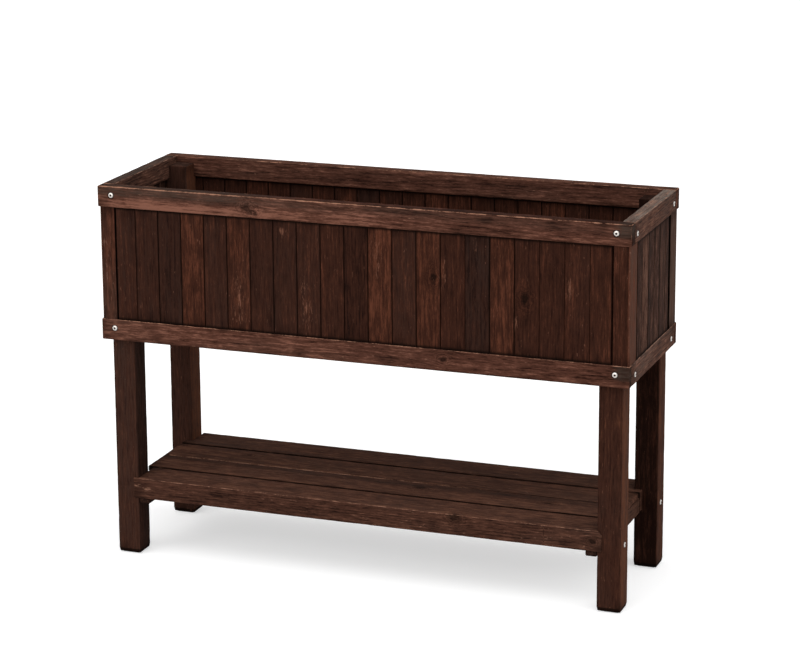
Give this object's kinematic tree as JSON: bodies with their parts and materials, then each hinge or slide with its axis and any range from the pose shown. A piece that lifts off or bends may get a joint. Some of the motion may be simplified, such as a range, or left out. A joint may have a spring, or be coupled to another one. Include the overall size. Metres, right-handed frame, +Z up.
{
  "type": "wooden raised bed",
  "caption": "Long boarded wooden planting trough carried at waist height on square legs, with a slatted storage shelf near the ground.",
  "frame": {"origin": "on the ground, under the middle of the trough", "axes": "+X along the trough to the right, +Y from the front towards the back, +Z up"},
  "size_m": [1.183, 0.379, 0.83],
  "materials": {
    "stained_wood_legs": "satin, dark walnut stain",
    "stained_wood_rails": "satin, dark walnut stain, worn arrises",
    "stained_wood_corner_posts": "satin, dark walnut stain",
    "stained_wood_boards": "satin, dark walnut stain",
    "stained_wood_floor": "matte, dark walnut stain",
    "stained_wood_shelf": "satin, dark walnut stain",
    "plated_steel": "zinc plated"
  },
  "bodies": {
    "root": {"leg_front_left": "stained_wood_legs", "leg_front_right": "stained_wood_legs", "leg_back_left": "stained_wood_legs", "leg_back_right": "stained_wood_legs", "top_rail_front": "stained_wood_rails", "top_rail_back": "stained_wood_rails", "top_rail_left": "stained_wood_rails", "top_rail_right": "stained_wood_rails", "lower_rail_front": "stained_wood_rails", "lower_rail_back": "stained_wood_rails", "lower_rail_left": "stained_wood_rails", "lower_rail_right": "stained_wood_rails", "corner_post_front_left": "stained_wood_corner_posts", "corner_post_front_right": "stained_wood_corner_posts", "corner_post_back_left": "stained_wood_corner_posts", "corner_post_back_right": "stained_wood_corner_posts", "panel_front": "stained_wood_boards", "panel_back": "stained_wood_boards", "panel_left": "stained_wood_boards", "panel_right": "stained_wood_boards", "floor_bearer_left": "stained_wood_floor", "floor_bearer_centre": "stained_wood_floor", "floor_bearer_right": "stained_wood_floor", "floor_board_front": "stained_wood_floor", "floor_board_middle_1": "stained_wood_floor", "floor_board_middle_2": "stained_wood_floor", "floor_board_middle_3": "stained_wood_floor", "floor_board_back": "stained_wood_floor", "shelf_front_beam": "stained_wood_shelf", "shelf_rear_beam": "stained_wood_shelf", "shelf_board_front": "stained_wood_shelf", "shelf_board_rear": "stained_wood_shelf", "shelf_side_rail_left": "stained_wood_shelf", "shelf_centre_bearer": "stained_wood_shelf", "shelf_side_rail_right": "stained_wood_shelf", "shelf_batten_left": "stained_wood_shelf", "shelf_batten_right": "stained_wood_shelf", "bolt_top_front_rail_left": "plated_steel", "bolt_top_front_rail_right": "plated_steel", "bolt_top_back_rail_left": "plated_steel", "bolt_top_back_rail_right": "plated_steel", "bolt_top_left_rail_front": "plated_steel", "bolt_top_left_rail_back": "plated_steel", "bolt_top_right_rail_front": "plated_steel", "bolt_top_right_rail_back": "plated_steel", "bolt_lower_front_rail_left": "plated_steel", "bolt_lower_front_rail_right": "plated_steel", "bolt_lower_back_rail_left": "plated_steel", "bolt_lower_back_rail_right": "plated_steel", "bolt_lower_left_rail_front": "plated_steel", "bolt_lower_left_rail_back": "plated_steel", "bolt_lower_right_rail_front": "plated_steel", "bolt_lower_right_rail_back": "plated_steel", "bolt_shelf_front_left": "plated_steel", "bolt_shelf_front_right": "plated_steel", "bolt_shelf_back_left": "plated_steel", "bolt_shelf_back_right": "plated_steel"}
  },
  "joints": []
}
